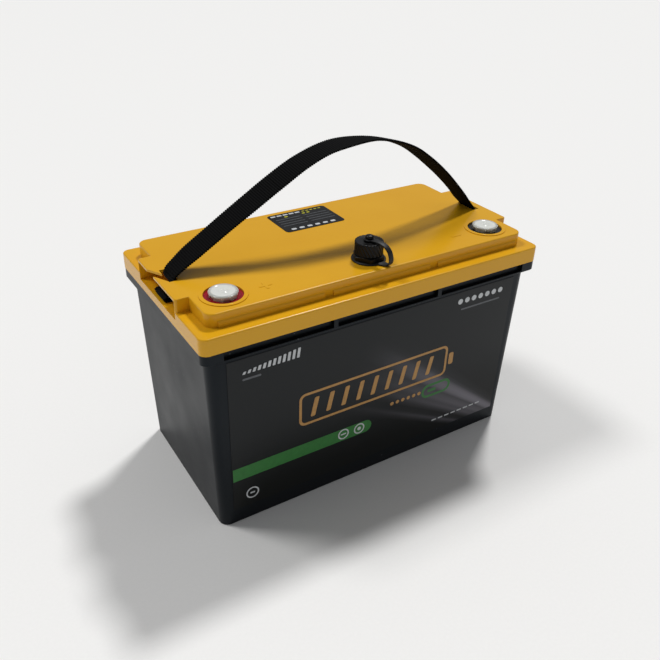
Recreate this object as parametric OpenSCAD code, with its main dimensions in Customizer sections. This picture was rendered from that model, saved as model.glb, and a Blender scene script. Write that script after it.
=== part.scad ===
// Group-size deep cycle battery: a black moulded case with an amber lid, two capped M8
// terminals, a capped data port, a webbing carry strap, and four lithium cells with their
// protection board inside. Millimetres, +Z up, origin at the centre of the base.
// X runs along the length, the labelled long side faces -Y, the positive post is at -X.

/* [Case] */
// Length of the case at its base
base_l = 310; // [300:1:314]
// Width of the case at its base
base_w = 157; // [154:0.5:159]
// Length of the case just under its rim
case_l = 319; // [316:1:321]
// Width of the case just under its rim
case_w = 162; // [160:0.5:164]
// Thickness of the case walls and floor
case_wall = 3; // [2.5:0.1:3.4]
// Height of the underside of the rim
rim_z = 170.5; // [168:0.5:172]
// Depth of the recesses in the long sides of the rim
rim_recess = 3.8; // [1:0.1:4]

/* [Lid] */
// Length of the lid, the length of the whole battery
lid_l = 330; // [330:1:336]
// Width of the lid, the width of the whole battery
lid_w = 173; // [173:1:176]
// Height of the joint between the case and the lid
joint_z = 179.5; // [178:0.5:181]
// Height of the low ledge around the lid
ledge_z = 193.5; // [193:0.5:196]
// Height of the raised platform of the lid
top_z = 205; // [204.5:0.5:206]
// Length of the raised platform
deck_l = 308; // [304:1:309]
// Width of the raised platform
deck_w = 148.5; // [146:0.5:150]
// Width of the strap bridge at each end
bridge_w = 81; // [78:1:84]
// Radius of the lid's moulded top edges
edge_r = 1.1; // [0.6:0.1:1.4]

/* [Terminals] */
// Distance of each terminal from the middle, along the length
post_x = 130; // [126:0.5:131]
// Distance of the terminals in front of the middle
post_y = 50; // [48:0.5:52]
// Radius of the threaded hole, M8
post_hole_r = 4; // [4:0.5:4]
// Depth of the threaded hole
post_hole_depth = 15; // [12:0.5:15]
// Radius of the terminal's contact face
post_r = 10; // [9:0.25:10]
// Radius of the recess around a terminal
well_r = 15.5; // [15:0.25:16]

/* [Data port] */
// Distance of the port in front of the middle
port_y = 52; // [51:0.5:53]
// Radius of the port's threaded barrel
barrel_r = 9; // [8.5:0.1:9.2]
// Width of the port nut across its flats
nut_af = 24.2; // [22:0.1:24.4]
// Radius of the dust cap
cap_r = 12; // [11.6:0.1:12.4]
// Direction in which the tether leaves the cap, from +X, in degrees
tether_turn = -75; // [-80:1:-70]

/* [Carry strap] */
// Width of the webbing
strap_w = 20; // [18:0.5:20]
// Thickness of the webbing
strap_t = 2; // [1.5:0.1:2.2]
// Height of the line about which the strap swings
swing_z = 217; // [216:0.5:218]
// Distance of each strap slot from the middle
slot_x = 154; // [153.5:0.25:154.5]
// Thickness of the folded and sewn tail that holds each end of the strap
tail_t = 6; // [3.5:0.1:7]

/* [Cells] */
// Thickness of one cell, along the length of the pack
cell_t = 66; // [60:0.5:66]
// Width of one cell
cell_w = 148; // [140:1:148]
// Height of one cell
cell_h = 150; // [130:1:150]
// Thickness of the sheet between two cells
spacer_t = 1.5; // [1:0.1:1.5]

/* [Hidden] */
$fn = 64;

gap = 0.05;                 // clearance where pieces only rest against each other
floor_t = 3.5;              // floor of the case
tongue_z = joint_z + 2.5;   // top of the case's locating tongue
tongue_l = lid_l - 8.8;
tongue_w = lid_w - 8.8;
skirt_l = lid_l - 6;        // inside of the lid's skirt
skirt_w = lid_w - 6;
deck_t = 3;                 // thickness of the platform
bridge_roof = 2;            // thickness of the bridge over the strap tunnel
bridge_floor = 187;         // height of the tunnel's floor
tunnel_w = bridge_w - 4;
tunnel_in = lid_l / 2 - 19; // inner end of the tunnel
web_x = 52;                 // the rim's webs, either side of the middle
web_t = 4;
rim_corner = 148;           // the rim is solid from here to its corners

well_z = top_z - 3.5;       // floor of the terminal well
post_z = top_z + 1.4;       // contact face of the terminal
insert_r = 7;               // insert's body in the lid
insert_z = 186;             // bottom of the insert
ring_top = top_z - 0.8;
cover_r = 11.6;
cover_top = 208.7;

base_ring_t = 1.4;          // tether's ring on the lid
nut_z = top_z + base_ring_t;
nut_t = 4;
barrel_top = 218;
cap_z = nut_z + nut_t + 0.4;
cap_top = 221.5;
socket_r = 7;               // socket inside the barrel

// Middle line of the strap from slot to slot, as x and z
STRAP_PATH = [
    [-154, 203], [-139, 217.5], [-100, 240.5], [-60, 264], [-22, 281.5],
    [20, 288], [58, 281.5], [93, 262.5], [131, 229], [154, 203]
];
// Middle line of the tether from the cap's ring to the ring on the lid, as radius and z
TETHER_PATH = [
    [4, 222.8], [10, 223.4], [15.5, 222.8], [20.5, 220], [23.4, 215.5],
    [23.8, 211.5], [22.2, 207.9], [19, 206.4], [15, 205.8]
];

cell_pitch = cell_t + spacer_t;
cell_z = floor_t + 3;       // cells stand on the foam pad
cell_top = cell_z + cell_h;
tap_y = 45;                 // cell terminals, either side of the middle
tray_t = 3.5;
bar_z = cell_top + 4;       // underside of the busbars
bar_t = 2;
bar_w = 20;
stud_r = 3;
pack_half = 2 * cell_t + 1.5 * spacer_t;
plate_t = 4;
board_z = cell_top + 14.5;
board_t = 1.6;
board_c = 24;               // middle of the board in Y
riser_x = post_x + 5.7;
lead_r = 3;

// ---- shapes that repeat ----

module rounded_rect(l, w, r) {
    square([l - 2 * r, w], center = true);
    square([l, w - 2 * r], center = true);
    for (x = [-1, 1], y = [-1, 1])
        translate([x * (l / 2 - r), y * (w / 2 - r)]) circle(r);
}

module slab(l, w, r, z0, z1) {
    translate([0, 0, z0]) linear_extrude(z1 - z0) rounded_rect(l, w, r);
}

// A block with its top edge rounded to a quarter circle of radius e
module soft_block(l, w, r, z0, z1, e) {
    hull() {
        slab(l, w, r, z0, z1 - e, $fn = 48);
        for (a = [30, 60, 90]) {
            inset = e * (1 - cos(a));
            slab(l - 2 * inset, w - 2 * inset, r - inset, z1 - e + e * sin(a) - 0.02,
                z1 - e + e * sin(a), $fn = 48);
        }
    }
}

module block(x0, x1, y0, y1, z0, z1) {
    translate([x0, y0, z0]) cube([x1 - x0, y1 - y0, z1 - z0]);
}

module tube(r_out, r_in, z0, z1) {
    translate([0, 0, z0]) difference() {
        cylinder(r = r_out, h = z1 - z0);
        translate([0, 0, -1]) cylinder(r = r_in, h = z1 - z0 + 2);
    }
}

module at_post(side) translate([side * post_x, -post_y, 0]) children();

module at_port() translate([0, -port_y, 0]) children();

// ---- curves ----

// Smooth curve through a list of points, with n steps between two of them
function spline_point(p, i, t) =
    let (a = p[max(i - 1, 0)], b = p[i], c = p[i + 1], d = p[min(i + 2, len(p) - 1)])
    0.5 * (2 * b + (c - a) * t + (2 * a - 5 * b + 4 * c - d) * t * t
        + (3 * b - a - 3 * c + d) * t * t * t);

function spline(p, n) = [
    for (i = [0 : len(p) - 2], k = [0 : n - 1]) spline_point(p, i, k / n),
    p[len(p) - 1]
];

function unit(v) = v / norm(v);

// Direction of a line of points at point i
function heading(p, i) = unit(p[min(i + 1, len(p) - 1)] - p[max(i - 1, 0)]);

// Outline of a band of thickness t along a flat line of points
function band(p, t) = concat(
    [for (i = [0 : len(p) - 1]) let (h = heading(p, i)) p[i] + [-h.y, h.x] * t / 2],
    [for (i = [len(p) - 1 : -1 : 0]) let (h = heading(p, i)) p[i] - [-h.y, h.x] * t / 2]
);

// A band that stands in the XZ plane, as wide as w along Y
module strip(p, t, w) {
    rotate([90, 0, 0]) linear_extrude(w, center = true) polygon(band(p, t));
}

// A round lead of radius r along points in space
module lead(p, r, sides = 10) {
    n = len(p);
    rings = [
        for (i = [0 : n - 1])
            let (
                h = heading(p, i),
                side = unit(cross(h, abs(h.z) > 0.9 ? [0, 1, 0] : [0, 0, 1])),
                up = cross(h, side)
            )
            for (k = [0 : sides - 1])
                p[i] + r * (cos(360 * k / sides) * side + sin(360 * k / sides) * up)
    ];
    faces = concat(
        [[for (k = [0 : sides - 1]) k]],
        [for (i = [0 : n - 2], k = [0 : sides - 1])
            let (a = i * sides + k, b = i * sides + (k + 1) % sides)
            [a, a + sides, b + sides, b]],
        [[for (k = [sides - 1 : -1 : 0]) (n - 1) * sides + k]]
    );
    polyhedron(rings, faces, convexity = 4);
}

// ---- case ----

module case() color("#101112") difference() {
    union() {
        hull() {
            slab(base_l - 1.4, base_w - 1.4, 7.8, 0, 0.1, $fn = 48);
            slab(base_l, base_w, 8.5, 0.8, 0.9, $fn = 48);
            slab(case_l, case_w, 9.5, rim_z + 0.9, rim_z + 1, $fn = 48);
        }
        difference() {
            hull() {
                slab(lid_l - 1.8, lid_w - 1.8, 5.6, rim_z, rim_z + 0.1);
                slab(lid_l - 0.6, lid_w - 0.6, 6.2, rim_z + 0.6, joint_z);
            }
            for (y = [-1, 1]) for (x = [-1, 0, 1]) rim_bay(x, y);
        }
        slab(tongue_l, tongue_w, 4, joint_z - 1, tongue_z);
    }
    hull() {
        slab(base_l - 2 * case_wall, base_w - 2 * case_wall, 6, floor_t, floor_t + 0.1, $fn = 48);
        slab(case_l - 2 * case_wall, case_w - 2 * case_wall, 7, tongue_z + 1, tongue_z + 2, $fn = 48);
    }
}

// One of the three recesses in a long side of the rim
module rim_bay(x, y) {
    inner = web_x + web_t / 2;
    span = x == 0 ? 2 * (web_x - web_t / 2) : rim_corner - inner;
    translate([x * (inner + span / 2), y * (lid_w / 2 + 5 - rim_recess), (rim_z + joint_z) / 2 + 0.8])
        cube([span, 10, joint_z - rim_z - 1.5], center = true);
}

// ---- lid ----

module lid() color("#D9A52C") difference() {
    union() {
        soft_block(lid_l, lid_w, 6.5, joint_z + gap, ledge_z, edge_r);
        soft_block(deck_l, deck_w, 8, ledge_z - 2, top_z, edge_r);
        for (s = [-1, 1]) {
            translate([s * (lid_l / 2 - 12.5), 0, 0])
                soft_block(25, bridge_w, 2.2, ledge_z - 2, top_z, 0.7);
            at_post(s) translate([0, 0, top_z - 0.5]) cylinder(r = well_r + 3.2, h = 1.1);
        }
        deck_ribs();
        polarity_marks();
    }
    lid_hollow();
    for (s = [-1, 1]) {
        strap_way(s);
        at_post(s) {
            translate([0, 0, well_z]) cylinder(r = well_r, h = 10);
            translate([0, 0, insert_z - 5]) cylinder(r = insert_r, h = 30);
            translate([0, 0, well_z - 1.9]) cylinder(r = insert_r + 1.9, h = 5);
        }
    }
    at_port() translate([0, 0, top_z - 20]) cylinder(r = barrel_r, h = 40);
}

// Hollow underside, with bosses left for the terminals and walls around the strap tunnels
module lid_hollow() difference() {
    union() {
        slab(skirt_l, skirt_w, 4.5, joint_z - 5, ledge_z - 3.5);
        slab(deck_l - 7, deck_w - 7, 5, joint_z, top_z - deck_t);
    }
    for (s = [-1, 1]) {
        at_post(s) translate([0, 0, insert_z + 2]) cylinder(r = well_r + 2, h = 30);
        translate([s * (lid_l / 2 - 12), 0, (bridge_floor - 4 + top_z) / 2])
            cube([30, bridge_w + 2, top_z - bridge_floor + 4], center = true);
    }
}

// Open tunnel in one end of the lid, and the slot and slit that let the strap in
module strap_way(s) {
    translate([s * (tunnel_in + 15), 0, (bridge_floor + top_z - bridge_roof) / 2])
        cube([30, tunnel_w, top_z - bridge_roof - bridge_floor], center = true);
    translate([s * slot_x, 0, top_z]) cube([7, strap_w + 3, 10], center = true);
    slit_back = s > 0 ? 9 : 0;
    translate([0, slit_back, top_z - 5]) linear_extrude(10)
        polygon([
            for (p = [[slot_x + 3, -11.5], [slot_x + 3, 3.5], [slot_x + 14, 24], [slot_x + 14, 9.5]])
                [p.x * s, p.y]
        ]);
}

// Low beads along the foot of the platform's long sides, broken at the webs
module deck_ribs() {
    for (y = [-1, 1]) for (x = [-1, 0, 1])
        translate([x * 101, y * deck_w / 2, ledge_z]) scale([1, y, 1]) rotate([90, 0, 90])
            linear_extrude(x == 0 ? 96 : 90, center = true)
                polygon([[-1, -1], [1.2, -1], [1.2, 1.2], [1, 3.4], [0.6, 4.6], [0, 5.3], [-1, 5.4]]);
}

// Raised plus and minus signs with round ends
module polarity_marks() {
    translate([-95.9, -52.3, 0]) for (turn = [0, 90]) rotate(turn)
        slab(11.4, 2.8, 1.35, top_z - 0.3, top_z + 0.25);
    translate([95.3, -51, 0]) slab(11.4, 2.8, 1.35, top_z - 0.3, top_z + 0.25);
}

module lid_seal() color("#2A2A2A") difference() {
    slab(skirt_l, skirt_w, 4.5, joint_z + gap, tongue_z);
    slab(tongue_l, tongue_w, 4, joint_z - 1, tongue_z + 1);
}

// ---- labels ----

module front_label() color("#1E2122") {
    lean = atan((case_w - base_w) / 2 / (rim_z - 0.6));
    translate([0, -base_w / 2 - gap, 1.5]) rotate([lean, 0, 0])
        translate([0, -0.15, 14 + 75]) cube([289, 0.3, 150], center = true);
}

module top_label() color("#17181A") translate([-2, 47.3, 0])
    slab(61.4, 41.4, 3.5, top_z + 0.01, top_z + 0.25);

// ---- terminals ----

module terminal_ring(side, paint) color(paint) at_post(side)
    tube(well_r - 0.1, post_r + 0.15, well_z, ring_top);

module terminal_insert(side) color("#C9CCCB") at_post(side) difference() {
    union() {
        translate([0, 0, well_z]) cylinder(r = post_r, h = post_z - well_z);
        translate([0, 0, insert_z]) cylinder(r = insert_r, h = well_z - insert_z + 1);
    }
    translate([0, 0, post_z - post_hole_depth]) cylinder(r = post_hole_r, h = 30);
    translate([0, 0, insert_z - 1]) cylinder(r = stud_r, h = 5);
}

module terminal_seal(side) color("#1A1A1A") at_post(side) translate([0, 0, well_z - 0.95])
    rotate_extrude() translate([insert_r + 0.95, 0]) circle(0.94);

// Clear snap-on cap: hollow, with a low crown and a small dimple in the middle
module terminal_cover(side) color([0.86, 0.87, 0.87, 0.6]) at_post(side) difference() {
    union() {
        translate([0, 0, ring_top + gap]) cylinder(r = cover_r - 0.4, h = 4);
        translate([0, 0, ring_top + 3]) cylinder(r = cover_r, h = cover_top - 0.8 - ring_top - 3);
        translate([0, 0, cover_top - 0.8]) cylinder(r1 = cover_r, r2 = cover_r - 1, h = 0.8);
    }
    translate([0, 0, ring_top - 1]) cylinder(r = post_r + 0.35, h = cover_top - 1.3 - ring_top + 1);
    translate([0, 0, cover_top - 0.5]) cylinder(r = 1.3, h = 2);
}

// ---- data port ----

module port_body() color("#141516") at_port() difference() {
    union() {
        translate([0, 0, 197]) cylinder(r = barrel_r, h = barrel_top - 197);
        translate([0, 0, 197]) cylinder(r = barrel_r + 3.5, h = 3.5);
    }
    translate([0, 0, 190]) cylinder(r = socket_r, h = 40);
}

module port_nut() color("#16171A") at_port() difference() {
    translate([0, 0, nut_z]) rotate(32) cylinder(r = nut_af / 2 / cos(30), h = nut_t, $fn = 6);
    translate([0, 0, nut_z - 1]) cylinder(r = barrel_r, h = nut_t + 2);
}

module port_gasket() color("#1E1E1E") at_port()
    tube(barrel_r + 3.5, barrel_r, 200.5, top_z - deck_t);

module port_insulator() color("#2B2D2E") at_port() difference() {
    translate([0, 0, 198]) cylinder(r = socket_r, h = 12);
    contact_places() translate([0, 0, 190]) cylinder(r = 0.8, h = 30, $fn = 24);
}

module port_contacts() color("#C8A24A") at_port() contact_places()
    translate([0, 0, 194]) cylinder(r = 0.8, h = 20, $fn = 24);

module contact_places() for (k = [0 : 4]) rotate(72 * k) translate([3.6, 0, 0]) children();

module dust_cap() color("#18191B") at_port() difference() {
    union() {
        translate([0, 0, cap_z]) cylinder(r = cap_r, h = cap_top - cap_z);
        translate([0, 0, cap_top - 0.5]) cylinder(r = 2.2, h = 3.5);
        translate([0, 0, cap_top + 2.4]) cylinder(r1 = 3.5, r2 = 2.7, h = 2.6);
    }
    translate([0, 0, cap_z - 1]) cylinder(r = barrel_r + 0.1, h = barrel_top + 1.4 - cap_z + 1);
}

module cap_seal() color("#0F0F0F") at_port()
    tube(barrel_r + 0.1, socket_r + 0.4, barrel_top + gap, barrel_top + 1.4);

// The tether is one rubber moulding: a ring under the cap's button, a flat strap, and a ring
// under the nut
module tether_cap_ring() color("#1B1C1E") at_port()
    tube(4.2, 2.4, cap_top + 0.3, cap_top + 1.9);

module cap_tether() color("#1B1C1E") at_port() rotate(tether_turn) difference() {
    strip(spline(TETHER_PATH, 5), 1.3, 5.4);
    tube(4.3, 0, cap_top - 2, cap_top + 5);
    tube(14.6, 0, top_z - 1, nut_z + 0.5);
    block(0, 30, -5, 5, top_z - 4, top_z + gap);
}

module tether_base_ring() color("#1B1C1E") at_port() tube(14.6, barrel_r, top_z, nut_z);

// ---- carry strap ----

// The free part of the webbing, from one swing point to the other, with pointed ends
module carry_strap() color("#0C0C0D") difference() {
    strip(spline(STRAP_PATH, 6), strap_t, strap_w);
    block(-170, 170, -20, 20, 150, swing_z + 0.3);
    for (s = [-1, 1]) swing_cut(s, 1);
}

// A webbing end: through the slot, then folded flat on the tunnel's floor and sewn
module strap_end(side) color("#0C0C0D") difference() {
    union() {
        strip([for (p = spline(STRAP_PATH, 6)) if (p.x * side > 100) p], strap_t, strap_w);
        scale_end(side) strip(spline([[0, 203.5], [0.6, 199], [-0.4, 194], [-3, 190]], 4), strap_t, strap_w);
        scale_end(side) block(-6.5, 8.5, -strap_w / 2 - 1, strap_w / 2 + 1,
            bridge_floor + gap, bridge_floor + tail_t);
    }
    block(-170, 170, -20, 20, swing_z - 0.3, 300);
    swing_cut(side, -1);
}

module scale_end(side) translate([side * slot_x, 0, 0]) scale([side, 1, 1]) children();

// Wedges that point the webbing at the line it swings about, above (1) or below (-1) it
module swing_cut(side, way) {
    for (y = [-1, 1])
        translate([side * 150, 0, swing_z]) rotate([90, 0, 90]) linear_extrude(80, center = true)
            polygon([[0, 0], [y * 30, 0], [y * 30, way * 30 / tan(54)]]);
}

// ---- cell pack ----

function cell_x(i) = (i - 2.5) * cell_pitch;

module cell(i) color("#2C5FA8") translate([cell_x(i), 0, 0]) {
    block(-cell_t / 2, cell_t / 2, -cell_w / 2, cell_w / 2, cell_z, cell_top);
    for (y = [-tap_y, tap_y]) {
        block(-12, 12, y - 12, y + 12, cell_top - 1, bar_z);
        translate([0, y, bar_z - 1]) cylinder(r = stud_r, h = 8);
    }
}

module cell_spacer(i) color("#E8E4D8") translate([(i - 2) * cell_pitch, 0, 0])
    block(-spacer_t / 2, spacer_t / 2, -73, 73, cell_z, cell_top - 2);

module end_plate(side) color("#C9B98C") translate([side * (pack_half + plate_t / 2), 0, 0])
    block(-plate_t / 2, plate_t / 2, -cell_w / 2, cell_w / 2, cell_z, cell_top - 6);

module tension_band(z) color("#7C8187") difference() {
    slab(2 * (pack_half + plate_t) + 1.4, cell_w + 1.4, 0.7, z, z + 16);
    slab(2 * (pack_half + plate_t), cell_w, 0.01, z - 1, z + 17);
}

module base_pad() color("#3A3B3D") block(-140, 140, -72, 72, floor_t, cell_z);

module end_foam(side) color("#44464A") translate([side * (pack_half + plate_t + 6.7), 0, 0])
    block(-5.9, 5.9, -60, 60, cell_z + 3, 110);

module cell_tray() color("#B9BDC2") difference() {
    union() {
        block(-pack_half, pack_half, -73, 73, cell_top, cell_top + tray_t);
        board_corners() translate([0, 0, cell_top + 1]) cylinder(r = 3.2, h = board_z - cell_top - 1);
    }
    for (i = [1 : 4]) for (y = [-tap_y, tap_y])
        translate([cell_x(i), y, cell_top]) cube([25, 25, 30], center = true);
    board_corners() translate([0, 0, board_z - 6]) cylinder(r = 1.5, h = 10, $fn = 32);
}

// ---- connections ----

module busbar(i) color("#B8743C") {
    y = i == 2 ? -tap_y : tap_y;
    difference() {
        block(cell_x(i) - 11, cell_x(i + 1) + 11, y - bar_w / 2, y + bar_w / 2, bar_z, bar_z + bar_t);
        for (k = [i, i + 1]) translate([cell_x(k), y, bar_z - 1]) cylinder(r = stud_r, h = 5);
    }
}

module busbar_nuts() color("#B9BBBD") for (i = [1 : 4]) for (y = [-tap_y, tap_y])
    translate([cell_x(i), y, bar_z + bar_t]) difference() {
        cylinder(r = 5.5, h = 4, $fn = 6);
        translate([0, 0, -1]) cylinder(r = stud_r, h = 6);
    }

// Copper strip from the first cell up to the positive terminal
module positive_riser() color("#B8743C") difference() {
    translate([0, -47, 0]) rotate([90, 0, 0]) linear_extrude(bar_w, center = true)
        polygon([
            [cell_x(1) + 11, bar_z], [-riser_x - bar_t, bar_z],
            [-riser_x - bar_t, insert_z], [-post_x + 9, insert_z],
            [-post_x + 9, insert_z - bar_t], [-riser_x, insert_z - bar_t],
            [-riser_x, bar_z + bar_t], [cell_x(1) + 11, bar_z + bar_t]
        ]);
    translate([cell_x(1), -tap_y, bar_z - 1]) cylinder(r = stud_r, h = 5);
    at_post(-1) translate([0, 0, insert_z - 5]) cylinder(r = stud_r, h = 10);
}

// Cable lugs: place of the hole, turn about Z, and side of the barrel (1 above, -1 below)
LUGS = [
    [[cell_x(4), -tap_y, bar_z], 180, 1],
    [[50, 0, board_z + board_t], 0, 1],
    [[50, 48, board_z + board_t], 0, 1],
    [[post_x, -post_y, insert_z - bar_t], 90, -1]
];

module cable_lugs() color("#C4B9A6") for (lug = LUGS)
    translate(lug[0]) rotate(lug[1]) difference() {
        union() {
            block(-7, 13, -7, 7, 0, bar_t);
            translate([10, 0, bar_t / 2 + lug[2] * 3]) rotate([0, 90, 0]) cylinder(r = 4, h = 7);
        }
        translate([0, 0, -1]) cylinder(r = stud_r, h = 5);
        translate([12, 0, bar_t / 2 + lug[2] * 3]) rotate([0, 90, 0]) cylinder(r = lead_r, h = 8);
    }

// Where a lead enters a lug, d millimetres out along the barrel
function lug_mouth(lug, d) = lug[0] + [cos(lug[1]) * d, sin(lug[1]) * d, bar_t / 2 + lug[2] * 3];

module battery_negative_lead() color("#1B1B1B") lead(spline([
    lug_mouth(LUGS[0], 12.2), lug_mouth(LUGS[0], 17.2), lug_mouth(LUGS[0], 21),
    [74, -42, 168], [74, -32, 174], [80, -18, 177.5], [80, -5, 177.5],
    lug_mouth(LUGS[1], 22), lug_mouth(LUGS[1], 17.2), lug_mouth(LUGS[1], 12.2)
], 3), lead_r);

module output_negative_lead() color("#1B1B1B") lead(spline([
    lug_mouth(LUGS[2], 12.2), lug_mouth(LUGS[2], 17.2), lug_mouth(LUGS[2], 22),
    [86, 43, 178], [106, 24, 179.5], [123, 4, 180.5], [129, -14, 181.5],
    lug_mouth(LUGS[3], 23), lug_mouth(LUGS[3], 17.2), lug_mouth(LUGS[3], 12.2)
], 3), lead_r);

module lug_bolts() color("#B9BBBD") for (s = [-1, 1]) at_post(s)
    translate([0, 0, insert_z - bar_t - 4]) {
        cylinder(r = 5.5, h = 4, $fn = 6);
        cylinder(r = stud_r, h = 4 + bar_t + 3.5);
    }

// ---- protection board ----

module board_corners() for (x = [-1, 1], y = [-1, 1])
    translate([x * 60, board_c + y * 37.5, 0]) children();

module bms_board() color("#1E6B3A") difference() {
    block(-65, 65, board_c - 42, board_c + 42, board_z, board_z + board_t);
    board_corners() translate([0, 0, board_z - 1]) cylinder(r = 1.5, h = 5, $fn = 32);
}

module bms_mosfets() color("#26282B") for (x = [-45 : 11 : 32], y = [-1, 1])
    translate([x, board_c + y * 14, 0])
        block(-4.6, 4.6, -5.5, 5.5, board_z + board_t, board_z + board_t + 4.4);

module bms_heat_spreader() color("#AEB3B8")
    block(-52, 39, board_c - 22, board_c + 22, board_z + board_t + 4.4, board_z + board_t + 9);

module bms_screws() color("#8F9396") board_corners() {
    translate([0, 0, board_z + board_t]) cylinder(r = 2.8, h = 2, $fn = 32);
    translate([0, 0, board_z - 6]) cylinder(r = 1.5, h = 6 + board_t + 0.5, $fn = 32);
}

// Sense wires from the board to each busbar
module balance_leads() color("#C23B2E") for (i = [1 : 3]) {
    y = i == 2 ? -tap_y : tap_y;
    x = (i - 2) * cell_pitch;
    lead(spline([
        [x * 0.8, y * 0.3 + 4, board_z - 0.8], [x * 0.9, y * 0.5, board_z - 4],
        [x, y * 0.8, bar_z + bar_t + 4], [x, y, bar_z + bar_t + 0.9]
    ], 3), 0.8, 8);
}

module comm_lead() color("#202124") lead(spline([
    [0, -port_y, 193.9], [0, -port_y + 2, 190], [0, -44, 186], [0, -34, 182],
    [0, -24, 178], [0, -14, 175.2]
], 3), 2.4);

module temperature_sensor() color("#101010") {
    translate([cell_x(2), 0, cell_top + tray_t]) cylinder(r = 3, h = 2.5);
    lead(spline([
        [cell_x(2), 0, cell_top + tray_t + 1.5], [cell_x(2), 1, cell_top + tray_t + 5],
        [cell_x(2) + 2, 6, board_z - 4], [cell_x(2) + 3, 8, board_z - 1]
    ], 3), 0.8, 8);
}

// ---- parts ----

case();
lid();
lid_seal();
front_label();
top_label();
terminal_ring(-1, "#8E1320");  // positive_ring
terminal_ring(1, "#141414");  // negative_ring
terminal_insert(-1);  // positive_insert
terminal_insert(1);  // negative_insert
terminal_seal(-1);  // positive_seal
terminal_seal(1);  // negative_seal
terminal_cover(-1);  // positive_cover
terminal_cover(1);  // negative_cover
port_body();
port_nut();
port_gasket();
port_insulator();
port_contacts();
dust_cap();
cap_seal();
tether_cap_ring();
cap_tether();
tether_base_ring();
carry_strap();
strap_end(-1);  // strap_end_left
strap_end(1);  // strap_end_right
cell(1);  // cell_1
cell(2);  // cell_2
cell(3);  // cell_3
cell(4);  // cell_4
cell_spacer(1);  // cell_spacer_1
cell_spacer(2);  // cell_spacer_2
cell_spacer(3);  // cell_spacer_3
end_plate(-1);  // end_plate_left
end_plate(1);  // end_plate_right
tension_band(36);  // tension_band_lower
tension_band(106);  // tension_band_upper
base_pad();
end_foam(-1);  // end_foam_left
end_foam(1);  // end_foam_right
cell_tray();
busbar(1);  // busbar_1
busbar(2);  // busbar_2
busbar(3);  // busbar_3
busbar_nuts();
positive_riser();
battery_negative_lead();
output_negative_lead();
cable_lugs();
lug_bolts();
bms_board();
bms_mosfets();
bms_heat_spreader();
bms_screws();
balance_leads();
comm_lead();
temperature_sensor();
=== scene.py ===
import math

import bmesh
import bpy
from mathutils import Matrix, Vector


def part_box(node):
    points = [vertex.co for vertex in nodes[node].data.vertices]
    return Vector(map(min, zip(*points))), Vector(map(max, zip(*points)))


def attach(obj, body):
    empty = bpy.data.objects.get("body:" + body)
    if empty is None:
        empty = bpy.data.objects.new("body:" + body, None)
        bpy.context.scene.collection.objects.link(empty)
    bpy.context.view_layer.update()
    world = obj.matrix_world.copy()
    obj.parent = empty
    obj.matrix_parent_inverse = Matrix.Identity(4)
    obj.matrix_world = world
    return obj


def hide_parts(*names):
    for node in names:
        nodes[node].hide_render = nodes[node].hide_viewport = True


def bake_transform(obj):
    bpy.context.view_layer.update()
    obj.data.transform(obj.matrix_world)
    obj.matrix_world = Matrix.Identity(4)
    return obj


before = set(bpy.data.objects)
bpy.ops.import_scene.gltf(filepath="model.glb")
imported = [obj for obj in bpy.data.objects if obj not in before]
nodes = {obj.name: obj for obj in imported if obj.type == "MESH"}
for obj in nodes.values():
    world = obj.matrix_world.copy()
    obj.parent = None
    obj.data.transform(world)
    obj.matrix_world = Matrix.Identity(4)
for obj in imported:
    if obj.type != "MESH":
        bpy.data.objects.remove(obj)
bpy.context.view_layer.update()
scene = bpy.context.scene

# ---- View -------------------------------------------------------------------------------
# The battery stands a little turned, seen from the front left and from above, with the
# long labelled side and the positive end in view.

azimuth, elevation, roll = math.radians(-32.644), math.radians(31.117), math.radians(1.486)
target = Vector((-0.00259, 0, 0.109514))
distance = 0.68467

back = Vector((math.sin(azimuth) * math.cos(elevation), -math.cos(azimuth) * math.cos(elevation),
               math.sin(elevation)))
right = Vector((0, 0, 1)).cross(back).normalized()
up = back.cross(right)
right, up = (right * math.cos(roll) + up * math.sin(roll), up * math.cos(roll) - right * math.sin(roll))

camera = bpy.data.objects.new("camera", bpy.data.cameras.new("camera"))
camera.data.sensor_width = 36
camera.data.lens = 39.46
camera.data.clip_start = 0.01
facing = Matrix((right, up, back)).transposed().to_4x4()
camera.matrix_world = Matrix.Translation(target + back * distance) @ facing
scene.collection.objects.link(camera)
scene.camera = camera
scene.view_settings.view_transform = "Standard"

# ---- Floor and light ----------------------------------------------------------------------
# A pale matt studio floor. Two broad soft boxes stand high behind the battery, one to each
# side, and throw the strap's two shadows forward over the lid; the pale room fills the rest.


def linear(code):
    """Linear colour of an sRGB hex code."""
    parts = [int(code[i:i + 2], 16) / 255 for i in (0, 2, 4)]
    return [p / 12.92 if p <= 0.04045 else ((p + 0.055) / 1.055) ** 2.4 for p in parts] + [1]


def add(tree, kind, inputs={}, **settings):
    """A node with its settings, and with its inputs set to values or linked to sockets."""
    node = tree.nodes.new("ShaderNode" + kind)
    for name, value in settings.items():
        setattr(node, name, value)
    for name, value in inputs.items():
        if isinstance(value, bpy.types.NodeSocket):
            tree.links.new(value, node.inputs[name])
        else:
            node.inputs[name].default_value = value
    return node


def finish(name, color, roughness, **more):
    """A material of one mean colour. Returns it, its tree, its shader, and the place in metres."""
    material = bpy.data.materials.new(name)
    material.use_nodes = True
    tree = material.node_tree
    tree.nodes.clear()
    place = add(tree, "TexCoord").outputs["Object"]
    values = {"Base Color": linear(color), "Roughness": roughness}
    shader = add(tree, "BsdfPrincipled", values | {k.replace("_", " "): v for k, v in more.items()})
    add(tree, "OutputMaterial", {"Surface": shader.outputs["BSDF"]})
    return material, tree, shader, place


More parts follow.
